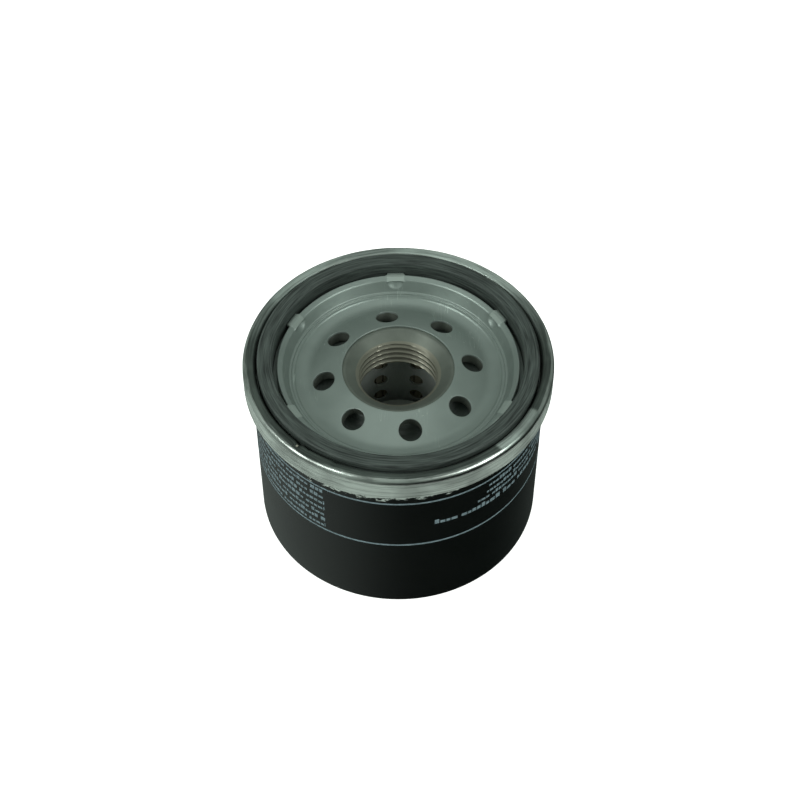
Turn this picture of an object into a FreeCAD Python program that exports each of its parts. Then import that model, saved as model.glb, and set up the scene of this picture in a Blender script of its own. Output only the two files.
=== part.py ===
import FreeCAD, Part
import math
import os
import re

import Sketcher

# Spin-on oil filter. Millimetres, +Z up. The origin is on the axis, at the middle of the can's foot,
# and the threaded end with its sealing gasket faces +Z.

OUT_FOLDER = "parts"

# Driving sizes, in millimetres or degrees. Each one can be set by itself.
SIZES = {
    # drawn can
    "can_radius": 32.5,
    "can_sheet": 0.45,
    "can_corner": 1.6,
    "foot_inner": 20.0,
    "recess_radius": 19.0,
    "recess_rise": 0.8,
    # double seam that joins the lid to the can
    "seam_top": 48.2,
    "seam_height": 6.0,
    "seam_gap": 0.15,
    "seam_crown": 0.9,
    "hook_gap": 0.25,
    "compound_depth": 0.15,
    # lid, its heights measured down from the top of the seam
    "lid_sheet": 0.45,
    "chuck_gap": 0.1,
    "groove_depth": 4.45,
    "rim_width": 0.9,
    "rim_depth": 1.8,
    "rim_fold": 0.58,
    "rim_round": 0.2,
    "shoulder_round": 1.1,
    "slope_run": 1.7,
    "shelf_width": 1.0,
    "shelf_depth": 5.1,
    "step_run": 0.3,
    "valley_width": 3.3,
    "valley_rise": 0.43,
    "valley_depth": 6.03,
    "opening_land": 2.895,
    "opening_depth": 3.6,
    # oil inlet holes, square to the cone of the lid
    "inlet_count": 8,
    "inlet_radius": 2.55,
    "inlet_inset": 4.28,
    "inlet_angle": 9.0,
    "inlet_clearance": 0.2,
    # nibs that hold the gasket in its groove
    "nib_count": 6,
    "nib_angle": 22.5,
    "nib_width": 4.0,
    "nib_height": 1.4,
    "nib_gap": 0.12,
    # sealing gasket
    "gasket_width": 3.39,
    "gasket_proud": 0.8,
    "gasket_outer_gap": 0.44,
    "gasket_inner_gap": 0.87,
    "gasket_round": 0.5,
    # threaded base plate
    "plate_thickness": 2.4,
    "plate_gap": 0.55,
    "step_gap": 0.1,
    "step_lean": 1.2,
    "crown_width": 0.6,
    "crown_round": 1.2,
    "mouth_depth": 1.85,
    "neck_length": 7.75,
    "neck_wall": 2.1,
    # three-quarter inch, sixteen turns to the inch
    "thread_major": 9.525,
    "thread_depth": 0.775,
    "thread_pitch": 1.5875,
    # filter element
    "element_gap": 3.55,
    "element_clearance": 0.5,
    "spring_length": 7.75,
    "cap_sheet": 0.5,
    "cap_rim": 3.5,
    "collar_depth": 2.6,
    "tube_gap": 1.3,
    "tube_sheet": 0.5,
    "collar_gap": 0.3,
    "perforation_radius": 1.7,
    "perforation_rows": 4,
    "perforation_columns": 10,
    "perforation_margin": 5.0,
    "potting_depth": 1.5,
    "pleat_count": 48,
    "media_sheet": 0.6,
    "media_gap": 0.5,
    "media_tube_gap": 0.15,
    "outer_fold": 1.4,
    "inner_fold": 0.96,
    "clip_sheet": 0.35,
    "clip_depth": 6.0,
    "clip_gap": 0.04,
    # anti-drainback valve
    "valve_gap": 0.05,
    "valve_collar": 1.6,
    "valve_collar_top": 0.85,
    "valve_hub": 3.4,
    "valve_hub_height": 1.3,
    "valve_lip": 1.0,
    "valve_overlap": 1.5,
    # bypass valve in the lower end cap
    "port_radius": 8.0,
    "seat_sheet": 0.5,
    "seat_wall": 0.6,
    "seat_crimp": 0.8,
    "seat_lip": 0.7,
    "seat_overlap": 0.8,
    "seal_width": 2.2,
    "seal_depth": 0.8,
    "poppet_sheet": 0.5,
    "poppet_margin": 0.2,
    "boss_radius": 4.6,
    "boss_height": 1.2,
    "stem_radius": 1.5,
    "stem_length": 8.8,
    "guide_gap": 0.08,
    "cage_gap": 1.0,
    "cage_sheet": 0.6,
    "cage_flange": 1.0,
    "cage_height": 10.0,
    "window_width": 9.0,
    "window_margin": 1.6,
    "window_count": 4,
    # coil springs
    "bypass_wire": 0.9,
    "bypass_turns": 5,
    "bypass_spring_gap": 0.45,
    "element_wire": 1.4,
    "element_turns": 3.5,
    "element_spring_radius": 13.0,
}

# Radii and heights that several pieces share, worked out from the sizes above.
CAN_INNER = "(can_radius - can_sheet)"
CHUCK_OUTER = f"({CAN_INNER} - chuck_gap)"
CHUCK_INNER = f"({CHUCK_OUTER} - lid_sheet)"
COVER_HOOK_INNER = "(can_radius + seam_gap)"
COVER_HOOK_OUTER = f"({COVER_HOOK_INNER} + lid_sheet)"
BODY_HOOK_INNER = f"({COVER_HOOK_OUTER} + seam_gap)"
BODY_HOOK_OUTER = f"({BODY_HOOK_INNER} + can_sheet)"
SEAM_WALL_INNER = f"({BODY_HOOK_OUTER} + seam_gap)"
SEAM_OUTER = f"({SEAM_WALL_INNER} + lid_sheet)"
SEAM_BOTTOM = "(seam_top - seam_height)"
LID_FOLD = "(seam_top - lid_sheet)"
CAN_FOLD = f"({LID_FOLD} - compound_depth)"

GASKET_OUTER = f"({CHUCK_INNER} - gasket_outer_gap)"
GASKET_INNER = f"({GASKET_OUTER} - gasket_width)"
GASKET_TOP = "(seam_top + gasket_proud)"

GROOVE_INNER = f"({GASKET_INNER} - gasket_inner_gap)"
GROOVE_FLOOR = "(seam_top - groove_depth)"
RIM_INNER = f"({GROOVE_INNER} - rim_width)"
RIM_TOP = "(seam_top - rim_depth)"
SHELF_OUTER = f"({RIM_INNER} - slope_run)"
SHELF_INNER = f"({SHELF_OUTER} - shelf_width)"
VALLEY_OUTER = f"({SHELF_INNER} - step_run)"
VALLEY_INNER = f"({VALLEY_OUTER} - valley_width)"
VALLEY = "(seam_top - valley_depth)"
VALLEY_EDGE = f"({VALLEY} + valley_rise)"
SHELF = "(seam_top - shelf_depth)"
OPENING = "(seam_top - opening_depth)"
OPENING_RADIUS = "(thread_major + opening_land)"
CONE_DROP = f"(({OPENING} - {VALLEY}) / ({VALLEY_INNER} - {OPENING_RADIUS}))"
INLET_CIRCLE = f"({OPENING_RADIUS} + inlet_inset)"
INLET_HEIGHT = f"({OPENING} - inlet_inset * {CONE_DROP})"

THREAD_MINOR = "(thread_major - thread_depth)"
NECK_OUTER = "(thread_major + neck_wall)"
PLATE_TOP = f"({OPENING} - lid_sheet)"
PLATE_VALLEY = f"({VALLEY} - lid_sheet)"
PLATE_FLANGE = f"({GROOVE_FLOOR} - lid_sheet)"
NECK_TOP = f"({PLATE_TOP} - plate_thickness)"
NECK_BOTTOM = f"({PLATE_TOP} - neck_length)"

CAN_FLOOR = "(recess_rise + can_sheet)"
ELEMENT_BOTTOM = f"({CAN_FLOOR} + spring_length)"
ELEMENT_TOP = f"({NECK_BOTTOM} - element_clearance)"
LOWER_CAP = f"({ELEMENT_BOTTOM} + cap_sheet)"
UPPER_CAP = f"({ELEMENT_TOP} - cap_sheet)"
ELEMENT_RADIUS = f"({CAN_INNER} - element_gap)"
RIM_BORE = f"({ELEMENT_RADIUS} - cap_sheet)"
MEDIA_BOTTOM = f"({LOWER_CAP} + potting_depth)"
MEDIA_TOP = f"({UPPER_CAP} - potting_depth)"
MEDIA_OUTER = f"({RIM_BORE} - media_gap)"

SEAT_OUTER = "(port_radius + seat_wall)"
SEAT_TOP = f"({LOWER_CAP} + seat_sheet + seat_lip)"
POPPET_RADIUS = "(port_radius - seat_overlap + seal_width + poppet_margin)"
POPPET_BOTTOM = f"({SEAT_TOP} + seal_depth)"
POPPET_TOP = f"({POPPET_BOTTOM} + poppet_sheet)"
CAGE_INNER = f"({POPPET_RADIUS} + cage_gap)"
CAGE_OUTER = f"({CAGE_INNER} + cage_sheet)"
CAGE_FLANGE = f"({CAGE_OUTER} + cage_flange)"
CAGE_FOOT = f"({LOWER_CAP} + seat_sheet)"
CAGE_TOP = f"({CAGE_FOOT} + cage_height)"
TUBE_INNER = f"({CAGE_FLANGE} + tube_gap)"
TUBE_OUTER = f"({TUBE_INNER} + tube_sheet)"

document = FreeCAD.newDocument("oil_filter")


def write_sheet():
    """Puts the driving sizes in the spreadsheet, one aliased cell each."""
    sheet = document.addObject("Spreadsheet::Sheet", "Sizes")
    for row, (alias, number) in enumerate(SIZES.items(), start=1):
        sheet.set(f"A{row}", alias)
        sheet.set(f"B{row}", str(number))
        sheet.setAlias(f"B{row}", alias)
    document.recompute()
    return sheet


def bound(expression):
    """The expression as FreeCAD reads it, with each size taken from the spreadsheet."""
    return re.sub(r"\b[a-z]+_[a-z_]+\b", r"Sizes.\g<0>", expression)


def number_of(expression):
    """The expression's present value as a plain number."""
    result = document.Sizes.evalExpression(bound(expression))
    return float(getattr(result, "Value", result))


def new_body(label):
    """An empty body that becomes one piece of the filter."""
    body = document.addObject("PartDesign::Body", label)
    body.Label = label
    return body


def origin_feature(body, role):
    """The body's own origin plane or axis of that role."""
    return next(item for item in body.Origin.OriginFeatures if item.Role == role)


def new_sketch(body, name, role="XZ_Plane"):
    """A sketch on one of the body's own origin planes."""
    sketch = body.newObject("Sketcher::SketchObject", name)
    sketch.AttachmentSupport = (origin_feature(body, role), [""])
    sketch.MapMode = "FlatFace"
    return sketch


def tie_point(sketch, geometry, point, place):
    """Ties one point of the sketch to its two coordinates, each an expression."""
    axes = {"DistanceX": -2, "DistanceY": -1}
    for (kind, axis), text in zip(axes.items(), place):
        if text == "0":
            sketch.addConstraint(Sketcher.Constraint("PointOnObject", geometry, point, axis))
            continue
        ends = (-1, 1, geometry, point)
        if text.startswith("-"):
            text = text[1:]
            ends = (geometry, point, -1, 1)
        index = sketch.addConstraint(Sketcher.Constraint(kind, *ends, number_of(text)))
        sketch.setExpression(f"Constraints[{index}]", bound(text))


def draw_outline(sketch, corners):
    """Draws a closed outline whose corners are pairs of expressions."""
    points = [FreeCAD.Vector(number_of(across), number_of(up), 0) for across, up in corners]
    for start, end in zip(points, points[1:] + points[:1]):
        sketch.addGeometry(Part.LineSegment(start, end))
    for index in range(len(corners)):
        following = (index + 1) % len(corners)
        sketch.addConstraint(Sketcher.Constraint("Coincident", index, 2, following, 1))
    for index, place in enumerate(corners):
        tie_point(sketch, index, 1, place)


def draw_circle(sketch, place, radius):
    """Draws a circle from expressions for its centre and its radius."""
    centre = FreeCAD.Vector(number_of(place[0]), number_of(place[1]), 0)
    size = number_of(radius)
    sketch.addGeometry(Part.Circle(centre, FreeCAD.Vector(0, 0, 1), size))
    index = sketch.addConstraint(Sketcher.Constraint("Radius", 0, size))
    sketch.setExpression(f"Constraints[{index}]", bound(radius))
    if place == ("0", "0"):
        sketch.addConstraint(Sketcher.Constraint("Coincident", 0, 3, -1, 1))
    else:
        tie_point(sketch, 0, 3, place)


def turned(label, corners):
    """A body of revolution about Z, from an outline of radius and height pairs."""
    body = new_body(label)
    sketch = new_sketch(body, f"{label}_outline")
    draw_outline(sketch, corners)
    turn = body.newObject("PartDesign::Revolution", f"{label}_turn")
    turn.Profile = sketch
    turn.ReferenceAxis = (sketch, ["V_Axis"])
    turn.Angle = 360
    document.recompute()
    return body


def ring(label, inner, outer, low, high):
    """A plain ring of rectangular section."""
    return turned(label, [(inner, low), (outer, low), (outer, high), (inner, high)])


def round_circles(body, name, radius, circles):
    """Rounds the circular edges found at these radii and heights."""
    wanted = [(number_of(across), number_of(up)) for across, up in circles]
    base = body.Tip
    names = []
    for index, edge in enumerate(base.Shape.Edges, start=1):
        if edge.Curve.TypeId != "Part::GeomCircle":
            continue
        here = (edge.Curve.Radius, edge.Curve.Center.z)
        if any(math.dist(here, there) < 0.01 for there in wanted):
            names.append(f"Edge{index}")
    if len(names) < len(wanted):
        raise RuntimeError(f"{body.Label}: {name} found {len(names)} of {len(wanted)} edges")
    fillet = body.newObject("PartDesign::Fillet", f"{body.Label}_{name}")
    fillet.Base = (base, names)
    fillet.setExpression("Radius", bound(radius))
    document.recompute()


def repeat_round(body, feature, name, count):
    """Repeats a feature evenly about the body's Z axis."""
    pattern = body.newObject("PartDesign::PolarPattern", f"{body.Label}_{name}")
    pattern.Originals = [feature]
    pattern.Axis = (origin_feature(body, "Z_Axis"), [""])
    pattern.Angle = 360
    pattern.setExpression("Occurrences", bound(count))
    body.Tip = pattern
    document.recompute()
    return pattern


def check_removed(body, before, least):
    """Stops the build if a cut took less than this volume away."""
    removed = before - body.Shape.Volume
    if removed < least:
        raise RuntimeError(f"{body.Label}: a cut removed only {removed:.2f} mm3")


def drill_inlets(body, radius, depth):
    """Drills the ring of inlet holes, square to the cone, and turns the body to their angle."""
    before = body.Shape.Volume
    sketch = new_sketch(body, f"{body.Label}_inlet", "XY_Plane")
    draw_circle(sketch, ("0", "0"), radius)
    sketch.AttachmentOffset = FreeCAD.Placement(
        FreeCAD.Vector(number_of(INLET_CIRCLE), 0, number_of(INLET_HEIGHT)),
        FreeCAD.Rotation(FreeCAD.Vector(0, 1, 0), 1),
    )
    sketch.setExpression("AttachmentOffset.Base.x", bound(INLET_CIRCLE))
    sketch.setExpression("AttachmentOffset.Base.z", bound(INLET_HEIGHT))
    sketch.setExpression("AttachmentOffset.Rotation.Angle", bound(f"atan({CONE_DROP})"))
    pocket = body.newObject("PartDesign::Pocket", f"{body.Label}_inlet_hole")
    pocket.Profile = sketch
    pocket.Midplane = True
    pocket.setExpression("Length", bound(f"2 * ({depth})"))
    repeat_round(body, pocket, "inlet_ring", "inlet_count")
    area = math.pi * number_of(radius) ** 2
    check_removed(body, before, 0.9 * number_of("inlet_count") * area * number_of("lid_sheet"))
    body.setExpression("Placement.Rotation.Angle", bound("inlet_angle"))


def make_can():
    """Deep-drawn can: stepped foot, straight wall and the body hook of the double seam."""
    hook_end = f"{SEAM_BOTTOM} + lid_sheet + hook_gap"
    body = turned(
        "can",
        [
            ("0", "recess_rise"),
            ("recess_radius", "recess_rise"),
            ("foot_inner", "0"),
            ("can_radius", "0"),
            ("can_radius", f"{CAN_FOLD} - can_sheet"),
            (BODY_HOOK_INNER, f"{CAN_FOLD} - can_sheet"),
            (BODY_HOOK_INNER, hook_end),
            (BODY_HOOK_OUTER, hook_end),
            (BODY_HOOK_OUTER, CAN_FOLD),
            (CAN_INNER, CAN_FOLD),
            (CAN_INNER, "can_sheet"),
            ("foot_inner", "can_sheet"),
            ("recess_radius", CAN_FLOOR),
            ("0", CAN_FLOOR),
        ],
    )
    round_circles(body, "corner_outside", "can_corner", [("can_radius", "0")])
    round_circles(body, "corner_inside", "can_corner - can_sheet", [(CAN_INNER, "can_sheet")])
    return body


def lid_outline():
    """Section of the lid: its upper side from the opening outwards, then its underside back."""
    return [
        (OPENING_RADIUS, OPENING),
        (VALLEY_INNER, VALLEY),
        (VALLEY_OUTER, VALLEY_EDGE),
        (SHELF_INNER, SHELF),
        (SHELF_OUTER, SHELF),
        (RIM_INNER, RIM_TOP),
        (GROOVE_INNER, RIM_TOP),
        (GROOVE_INNER, GROOVE_FLOOR),
        (CHUCK_INNER, GROOVE_FLOOR),
        (CHUCK_INNER, "seam_top"),
        (SEAM_OUTER, "seam_top"),
        (SEAM_OUTER, SEAM_BOTTOM),
        (COVER_HOOK_INNER, SEAM_BOTTOM),
        (COVER_HOOK_INNER, f"{CAN_FOLD} - can_sheet - hook_gap"),
        (COVER_HOOK_OUTER, f"{CAN_FOLD} - can_sheet - hook_gap"),
        (COVER_HOOK_OUTER, f"{SEAM_BOTTOM} + lid_sheet"),
        (SEAM_WALL_INNER, f"{SEAM_BOTTOM} + lid_sheet"),
        (SEAM_WALL_INNER, LID_FOLD),
        (CHUCK_OUTER, LID_FOLD),
        (CHUCK_OUTER, PLATE_FLANGE),
        (f"{GROOVE_INNER} - lid_sheet", PLATE_FLANGE),
        (f"{GROOVE_INNER} - lid_sheet", f"{RIM_TOP} - rim_fold"),
        (f"{SHELF_OUTER} + lid_sheet / 2", f"{SHELF} - lid_sheet"),
        (f"{SHELF_INNER} + lid_sheet / 2", f"{SHELF} - lid_sheet"),
        (f"{VALLEY_OUTER} + lid_sheet / 2", f"{VALLEY_EDGE} - lid_sheet"),
        (VALLEY_INNER, PLATE_VALLEY),
        (OPENING_RADIUS, PLATE_TOP),
    ]


def add_nibs(body):
    """Adds the nibs: flat-topped lugs pressed out of the rim into the gasket groove."""
    sketch = new_sketch(body, "nib_outline", "XY_Plane")
    face = f"({GASKET_INNER} - nib_gap)"
    draw_outline(
        sketch,
        [
            (RIM_INNER, "-nib_width / 2"),
            (face, "-nib_width / 2"),
            (face, "nib_width / 2"),
            (RIM_INNER, "nib_width / 2"),
        ],
    )
    sketch.AttachmentOffset = FreeCAD.Placement(
        FreeCAD.Vector(0, 0, number_of(RIM_TOP)),
        FreeCAD.Rotation(FreeCAD.Vector(0, 0, 1), 1),
    )
    sketch.setExpression("AttachmentOffset.Base.z", bound(RIM_TOP))
    sketch.setExpression("AttachmentOffset.Rotation.Angle", bound("nib_angle"))
    pad = body.newObject("PartDesign::Pad", "nib")
    pad.Profile = sketch
    pad.Reversed = True
    pad.setExpression("Length", bound("nib_height"))
    repeat_round(body, pad, "nib_ring", "nib_count")


def make_lid():
    """Thin lid and gasket retainer, rolled over the can's edge into a double seam."""
    body = turned("lid", lid_outline())
    round_circles(body, "crown", "seam_crown", [(CHUCK_INNER, "seam_top"), (SEAM_OUTER, "seam_top")])
    round_circles(body, "rim", "rim_round", [(GROOVE_INNER, RIM_TOP)])
    round_circles(body, "shoulder", "shoulder_round", [(RIM_INNER, RIM_TOP)])
    round_circles(body, "hem", "0.9 * lid_sheet", [(SEAM_OUTER, SEAM_BOTTOM)])
    add_nibs(body)
    drill_inlets(body, "inlet_radius", "3 * lid_sheet")
    return body


def cut_thread(body):
    """Cuts the internal thread as a true helix, from below the neck to above its mouth."""
    before = body.Shape.Volume
    sketch = new_sketch(body, "thread_groove")
    start = f"({NECK_BOTTOM} - thread_pitch / 2)"
    root = "(thread_pitch / 16)"
    mouth = f"({root} + 1.5 * thread_depth * tan(30))"
    draw_outline(
        sketch,
        [
            (f"thread_major - 1.5 * thread_depth", f"{start} - {mouth}"),
            ("thread_major", f"{start} - {root}"),
            ("thread_major", f"{start} + {root}"),
            (f"thread_major - 1.5 * thread_depth", f"{start} + {mouth}"),
        ],
    )
    helix = body.newObject("PartDesign::SubtractiveHelix", "thread")
    helix.Profile = sketch
    helix.ReferenceAxis = (sketch, ["V_Axis"])
    helix.Mode = "pitch-height-angle"
    helix.setExpression("Pitch", bound("thread_pitch"))
    helix.setExpression("Height", bound(f"{PLATE_TOP} - {start}"))
    body.Tip = helix
    document.recompute()
    wall = number_of(f"{PLATE_TOP} - mouth_depth - {NECK_BOTTOM}")
    least = math.pi * number_of(f"{THREAD_MINOR} * thread_depth") * wall * 0.5
    check_removed(body, before, least)


def make_base_plate():
    """Thick steel plate under the lid, drawn down into a threaded neck."""
    body = turned(
        "base_plate",
        [
            (THREAD_MINOR, NECK_BOTTOM),
            (NECK_OUTER, NECK_BOTTOM),
            (NECK_OUTER, NECK_TOP),
            (VALLEY_INNER, f"{PLATE_VALLEY} - plate_thickness"),
            (VALLEY_OUTER, f"{VALLEY_EDGE} - lid_sheet - plate_thickness"),
            (f"{SHELF_OUTER} + step_lean", f"{PLATE_FLANGE} - plate_thickness"),
            (f"{CHUCK_OUTER} - plate_gap", f"{PLATE_FLANGE} - plate_thickness"),
            (f"{CHUCK_OUTER} - plate_gap", PLATE_FLANGE),
            (f"{SHELF_OUTER} + lid_sheet + 3 * step_gap", PLATE_FLANGE),
            (f"{SHELF_OUTER} + lid_sheet / 2 + step_gap", f"{SHELF} - lid_sheet"),
            (f"{SHELF_INNER} + lid_sheet / 2 + step_gap", f"{SHELF} - lid_sheet"),
            (f"{VALLEY_OUTER} + lid_sheet / 2 + step_gap", f"{VALLEY_EDGE} - lid_sheet"),
            (VALLEY_INNER, PLATE_VALLEY),
            (OPENING_RADIUS, PLATE_TOP),
            (f"{OPENING_RADIUS} - crown_width", PLATE_TOP),
            (THREAD_MINOR, f"{PLATE_TOP} - mouth_depth"),
        ],
    )
    round_circles(body, "crown", "crown_round", [(f"{OPENING_RADIUS} - crown_width", PLATE_TOP)])
    cut_thread(body)
    drill_inlets(body, "inlet_radius + inlet_clearance", "2 * plate_thickness")
    return body


def make_gasket():
    """Rubber sealing ring that stands a little above the seam."""
    body = ring("sealing_gasket", GASKET_INNER, GASKET_OUTER, GROOVE_FLOOR, GASKET_TOP)
    edges = [(GASKET_INNER, GASKET_TOP), (GASKET_OUTER, GASKET_TOP)]
    round_circles(body, "edge", "gasket_round", edges)
    return body


def make_seam_compound():
    """Sealing compound in the crown of the double seam."""
    inner = f"({CAN_INNER} + can_sheet / 4)"
    outer = f"({BODY_HOOK_OUTER} - can_sheet / 2)"
    return ring("seam_compound", inner, outer, CAN_FOLD, LID_FOLD)


def make_drainback_valve():
    """Rubber valve: a collar round the neck and a lip that covers the inlet holes."""
    bore = f"({NECK_OUTER} + valve_gap)"
    hub = f"({bore} + valve_hub)"
    collar = f"({bore} + valve_collar)"
    lip_top = f"({PLATE_VALLEY} - plate_thickness)"
    hub_top = f"({ELEMENT_TOP} + valve_hub_height)"
    lip_edge = f"({VALLEY_INNER} + valve_overlap)"
    lip_edge_top = f"({lip_top} + valley_rise * valve_overlap / valley_width)"
    return turned(
        "drainback_valve",
        [
            (bore, ELEMENT_TOP),
            (hub, ELEMENT_TOP),
            (hub, hub_top),
            (lip_edge, f"{lip_edge_top} - valve_lip"),
            (lip_edge, lip_edge_top),
            (VALLEY_INNER, lip_top),
            (collar, f"{hub_top} + valve_lip"),
            (collar, f"{NECK_TOP} - valve_collar_top"),
            (bore, f"{NECK_TOP} - valve_collar_top"),
        ],
    )


def make_upper_end_cap():
    """Steel cap over the top of the media, with a collar down into the centre tube."""
    collar_outer = f"({TUBE_INNER} - collar_gap)"
    return turned(
        "upper_end_cap",
        [
            (f"{collar_outer} - cap_sheet", f"{ELEMENT_TOP} - collar_depth"),
            (collar_outer, f"{ELEMENT_TOP} - collar_depth"),
            (collar_outer, UPPER_CAP),
            (RIM_BORE, UPPER_CAP),
            (RIM_BORE, f"{ELEMENT_TOP} - cap_rim"),
            (ELEMENT_RADIUS, f"{ELEMENT_TOP} - cap_rim"),
            (ELEMENT_RADIUS, ELEMENT_TOP),
            (f"{collar_outer} - cap_sheet", ELEMENT_TOP),
        ],
    )


def make_lower_end_cap():
    """Steel cap under the media, with the hole that the bypass valve is crimped into."""
    return turned(
        "lower_end_cap",
        [
            (SEAT_OUTER, ELEMENT_BOTTOM),
            (ELEMENT_RADIUS, ELEMENT_BOTTOM),
            (ELEMENT_RADIUS, f"{ELEMENT_BOTTOM} + cap_rim"),
            (RIM_BORE, f"{ELEMENT_BOTTOM} + cap_rim"),
            (RIM_BORE, LOWER_CAP),
            (SEAT_OUTER, LOWER_CAP),
        ],
    )


def make_centre_tube():
    """Perforated steel tube that holds the pleats apart from the clean oil passage."""
    body = ring("centre_tube", TUBE_INNER, TUBE_OUTER, LOWER_CAP, UPPER_CAP)
    before = body.Shape.Volume
    sketch = new_sketch(body, "perforation_outline", "YZ_Plane")
    draw_circle(sketch, ("0", f"{LOWER_CAP} + perforation_margin"), "perforation_radius")
    pocket = body.newObject("PartDesign::Pocket", "perforation")
    pocket.Profile = sketch
    pocket.setExpression("Length", bound(f"{TUBE_OUTER} + tube_sheet"))
    grid = body.newObject("PartDesign::MultiTransform", "perforations")
    column = body.newObject("PartDesign::LinearPattern", "perforation_column")
    column.Direction = (origin_feature(body, "Z_Axis"), [""])
    column.setExpression("Length", bound(f"{UPPER_CAP} - {LOWER_CAP} - 2 * perforation_margin"))
    column.setExpression("Occurrences", bound("perforation_rows"))
    around = body.newObject("PartDesign::PolarPattern", "perforation_row")
    around.Axis = (origin_feature(body, "Z_Axis"), [""])
    around.Angle = 360
    around.setExpression("Occurrences", bound("perforation_columns"))
    grid.Originals = [pocket]
    grid.Transformations = [column, around]
    body.Tip = grid
    document.recompute()
    holes = number_of("perforation_rows * perforation_columns")
    one = math.pi * number_of("perforation_radius ^ 2 * tube_sheet")
    check_removed(body, before, 0.95 * holes * one)
    return body


def pleat_fold(radius, half_width, angle):
    """The two corners of one fold: a flat across the radius at that angle."""
    turn = FreeCAD.Rotation(FreeCAD.Vector(0, 0, 1), angle)
    return [turn.multVec(FreeCAD.Vector(radius, side * half_width, 0)) for side in (-1, 1)]


def pleat_side(shift):
    """One side of the pleated sheet, shifted by half its thickness outwards or inwards."""
    half = number_of("media_sheet") / 2
    outer = number_of(MEDIA_OUTER) - half
    inner = number_of(f"{TUBE_OUTER} + media_tube_gap") + half
    crest = number_of("outer_fold") / 2
    root = number_of("inner_fold") / 2
    count = int(number_of("pleat_count"))
    pitch = 360 / count
    first_end = pleat_fold(outer + half, crest + shift * half, 0)[1]
    last_end = pleat_fold(outer + half, crest + shift * half, 360)[0]
    points = [first_end]
    for index in range(count):
        points += pleat_fold(inner + shift * half, root - shift * half, (index + 0.5) * pitch)
        if index < count - 1:
            points += pleat_fold(outer + shift * half, crest + shift * half, (index + 1) * pitch)
    return points + [last_end]


def make_filter_media():
    """Pleated paper, open at the one pleat where the seam clip joins its two ends."""
    points = pleat_side(1) + pleat_side(-1)[::-1]
    face = Part.Face(Part.makePolygon(points + points[:1]))
    height = number_of(f"{MEDIA_TOP} - {MEDIA_BOTTOM}")
    media = document.addObject("Part::Feature", "filter_media")
    media.Label = "filter_media"
    media.Shape = face.extrude(FreeCAD.Vector(0, 0, height))
    media.Placement = FreeCAD.Placement(
        FreeCAD.Vector(0, 0, number_of(MEDIA_BOTTOM)), FreeCAD.Rotation()
    )
    return media


def make_media_seam_clip():
    """Steel strip folded over the two free ends of the media."""
    body = new_body("media_seam_clip")
    sketch = new_sketch(body, "clip_outline", "XY_Plane")
    inner = "((outer_fold + media_sheet) / 2 + clip_gap)"
    outer = "((outer_fold + media_sheet) / 2 + clip_gap + clip_sheet)"
    back = f"{MEDIA_OUTER} + clip_gap + clip_sheet"
    draw_outline(
        sketch,
        [
            (f"{MEDIA_OUTER} - clip_depth", f"-{outer}"),
            (back, f"-{outer}"),
            (back, outer),
            (f"{MEDIA_OUTER} - clip_depth", outer),
            (f"{MEDIA_OUTER} - clip_depth", inner),
            (f"{MEDIA_OUTER} + clip_gap", inner),
            (f"{MEDIA_OUTER} + clip_gap", f"-{inner}"),
            (f"{MEDIA_OUTER} - clip_depth", f"-{inner}"),
        ],
    )
    pad = body.newObject("PartDesign::Pad", "clip")
    pad.Profile = sketch
    pad.setExpression("Length", bound(f"{MEDIA_TOP} - {MEDIA_BOTTOM}"))
    body.setExpression("Placement.Base.z", bound(MEDIA_BOTTOM))
    document.recompute()
    return body


def make_pottings():
    """Cured adhesive that bonds each end of the media into its cap."""
    lower = ring("lower_potting", TUBE_OUTER, RIM_BORE, LOWER_CAP, MEDIA_BOTTOM)
    upper = ring("upper_potting", TUBE_OUTER, RIM_BORE, MEDIA_TOP, UPPER_CAP)
    return [lower, upper]


def make_bypass_seat():
    """Rolled steel seat, crimped into the lower end cap, with a raised sealing lip."""
    crimp = f"({SEAT_OUTER} + seat_crimp)"
    crimp_bottom = f"({ELEMENT_BOTTOM} - seat_sheet)"
    return turned(
        "bypass_seat",
        [
            ("port_radius", crimp_bottom),
            (crimp, crimp_bottom),
            (crimp, ELEMENT_BOTTOM),
            (SEAT_OUTER, ELEMENT_BOTTOM),
            (SEAT_OUTER, LOWER_CAP),
            (CAGE_FLANGE, LOWER_CAP),
            (CAGE_FLANGE, CAGE_FOOT),
            (SEAT_OUTER, CAGE_FOOT),
            (SEAT_OUTER, SEAT_TOP),
            ("port_radius", SEAT_TOP),
        ],
    )


def make_bypass_seal():
    """Rubber washer bonded under the poppet."""
    inner = "(port_radius - seat_overlap)"
    return ring("bypass_seal", inner, f"{inner} + seal_width", SEAT_TOP, POPPET_BOTTOM)


def make_bypass_poppet():
    """Disc with a boss that centres the spring and a stem that runs in the cage."""
    boss_top = f"({POPPET_TOP} + boss_height)"
    stem_top = f"({boss_top} + stem_length)"
    return turned(
        "bypass_poppet",
        [
            ("0", POPPET_BOTTOM),
            (POPPET_RADIUS, POPPET_BOTTOM),
            (POPPET_RADIUS, POPPET_TOP),
            ("boss_radius", POPPET_TOP),
            ("boss_radius", boss_top),
            ("stem_radius", boss_top),
            ("stem_radius", stem_top),
            ("0", stem_top),
        ],
    )


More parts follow.
